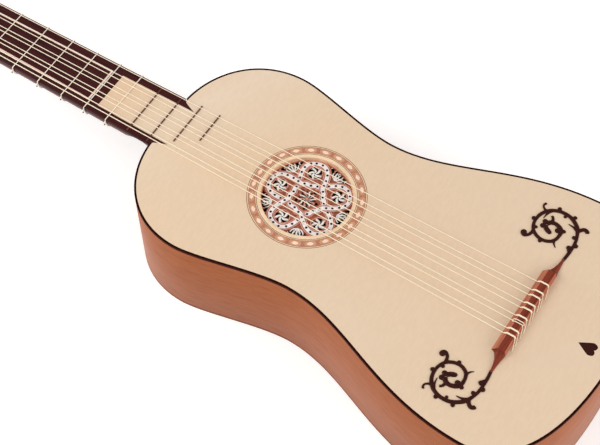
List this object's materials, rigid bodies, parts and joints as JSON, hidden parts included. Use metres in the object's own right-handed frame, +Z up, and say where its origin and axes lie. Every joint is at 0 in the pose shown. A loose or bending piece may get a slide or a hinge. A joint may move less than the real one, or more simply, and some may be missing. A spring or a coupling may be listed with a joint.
{
  "type": "baroque guitar",
  "caption": "Small flat-backed guitar with a sunk pierced rose, tied gut frets, friction pegs and a low bridge between two carved scrolls.",
  "frame": {"origin": "on the outer face of the back, on the centre line, under the bridge's string line", "axes": "+X to the treble side, +Y from the bridge to the head, +Z up out of the soundboard"},
  "size_m": [0.2666, 0.9454, 0.1071],
  "materials": {
    "spruce": "satin",
    "side_wood": "polished",
    "dark_wood": "polished",
    "peg_wood": "polished",
    "bridge_wood": "satin",
    "bone": "satin",
    "pale_inlay": "satin",
    "parchment": "matt",
    "gut": "satin"
  },
  "bodies": {
    "guitar": {"soundboard": "spruce", "soundboard_bar_upper": "spruce", "soundboard_bar_lower": "spruce", "back_bar_upper": "spruce", "back_bar_middle": "spruce", "back_bar_lower": "spruce", "neck_block": "spruce", "tail_block": "spruce", "lining_top_bass": "spruce", "lining_top_treble": "spruce", "lining_back_bass": "spruce", "lining_back_treble": "spruce", "back": "side_wood", "rib_bass": "side_wood", "rib_treble": "side_wood", "binding_top": "dark_wood", "binding_back": "dark_wood", "fingerboard": "dark_wood", "neck": "dark_wood", "peghead": "dark_wood", "peghead_face": "dark_wood", "scroll_bass": "dark_wood", "scroll_treble": "dark_wood", "heart_inlay": "dark_wood", "wooden_fret_9": "dark_wood", "wooden_fret_10": "dark_wood", "wooden_fret_11": "dark_wood", "wooden_fret_12": "dark_wood", "bridge": "bridge_wood", "nut": "bone", "fingerboard_lines": "pale_inlay", "rosette": "pale_inlay", "rose": "parchment", "string_1": "gut", "string_2": "gut", "string_3": "gut", "string_4": "gut", "string_5": "gut", "string_6": "gut", "string_7": "gut", "string_8": "gut", "string_9": "gut"},
    "peg_1": {"peg_1": "peg_wood"},
    "peg_2": {"peg_2": "peg_wood"},
    "peg_3": {"peg_3": "peg_wood"},
    "peg_4": {"peg_4": "peg_wood"},
    "peg_5": {"peg_5": "peg_wood"},
    "peg_6": {"peg_6": "peg_wood"},
    "peg_7": {"peg_7": "peg_wood"},
    "peg_8": {"peg_8": "peg_wood"},
    "peg_9": {"peg_9": "peg_wood"},
    "tied_fret_1": {"tied_fret_1": "gut"},
    "tied_fret_2": {"tied_fret_2": "gut"},
    "tied_fret_3": {"tied_fret_3": "gut"},
    "tied_fret_4": {"tied_fret_4": "gut"},
    "tied_fret_5": {"tied_fret_5": "gut"},
    "tied_fret_6": {"tied_fret_6": "gut"},
    "tied_fret_7": {"tied_fret_7": "gut"},
    "tied_fret_8": {"tied_fret_8": "gut"}
  },
  "joints": [
    {"name": "peg_1_turn", "type": "hinge", "parent": "guitar", "child": "peg_1", "pos_m": [0.0275, 0.70005, 0.09136], "axis": [0, 0.1219, 0.9925], "continuous": true},
    {"name": "peg_2_turn", "type": "hinge", "parent": "guitar", "child": "peg_2", "pos_m": [0.0285, 0.7328, 0.08733], "axis": [0, 0.1219, 0.9925], "continuous": true},
    {"name": "peg_3_turn", "type": "hinge", "parent": "guitar", "child": "peg_3", "pos_m": [0.0295, 0.76555, 0.08331], "axis": [0, 0.1219, 0.9925], "continuous": true},
    {"name": "peg_4_turn", "type": "hinge", "parent": "guitar", "child": "peg_4", "pos_m": [0.0305, 0.79831, 0.07929], "axis": [0, 0.1219, 0.9925], "continuous": true},
    {"name": "peg_5_turn", "type": "hinge", "parent": "guitar", "child": "peg_5", "pos_m": [-0.0315, 0.83106, 0.07527], "axis": [0, 0.1219, 0.9925], "continuous": true},
    {"name": "peg_6_turn", "type": "hinge", "parent": "guitar", "child": "peg_6", "pos_m": [-0.0305, 0.79831, 0.07929], "axis": [0, 0.1219, 0.9925], "continuous": true},
    {"name": "peg_7_turn", "type": "hinge", "parent": "guitar", "child": "peg_7", "pos_m": [-0.0295, 0.76555, 0.08331], "axis": [0, 0.1219, 0.9925], "continuous": true},
    {"name": "peg_8_turn", "type": "hinge", "parent": "guitar", "child": "peg_8", "pos_m": [-0.0285, 0.7328, 0.08733], "axis": [0, 0.1219, 0.9925], "continuous": true},
    {"name": "peg_9_turn", "type": "hinge", "parent": "guitar", "child": "peg_9", "pos_m": [-0.0275, 0.70005, 0.09136], "axis": [0, 0.1219, 0.9925], "continuous": true},
    {"name": "fret_1_slide", "type": "slide", "parent": "guitar", "child": "tied_fret_1", "axis": [0, 1, 0], "range_m": [-0.004, 0.004]},
    {"name": "fret_2_slide", "type": "slide", "parent": "guitar", "child": "tied_fret_2", "axis": [0, 1, 0], "range_m": [-0.004, 0.004]},
    {"name": "fret_3_slide", "type": "slide", "parent": "guitar", "child": "tied_fret_3", "axis": [0, 1, 0], "range_m": [-0.004, 0.004]},
    {"name": "fret_4_slide", "type": "slide", "parent": "guitar", "child": "tied_fret_4", "axis": [0, 1, 0], "range_m": [-0.004, 0.004]},
    {"name": "fret_5_slide", "type": "slide", "parent": "guitar", "child": "tied_fret_5", "axis": [0, 1, 0], "range_m": [-0.004, 0.004]},
    {"name": "fret_6_slide", "type": "slide", "parent": "guitar", "child": "tied_fret_6", "axis": [0, 1, 0], "range_m": [-0.004, 0.004]},
    {"name": "fret_7_slide", "type": "slide", "parent": "guitar", "child": "tied_fret_7", "axis": [0, 1, 0], "range_m": [-0.004, 0.004]},
    {"name": "fret_8_slide", "type": "slide", "parent": "guitar", "child": "tied_fret_8", "axis": [0, 1, 0], "range_m": [-0.004, 0.004]}
  ]
}
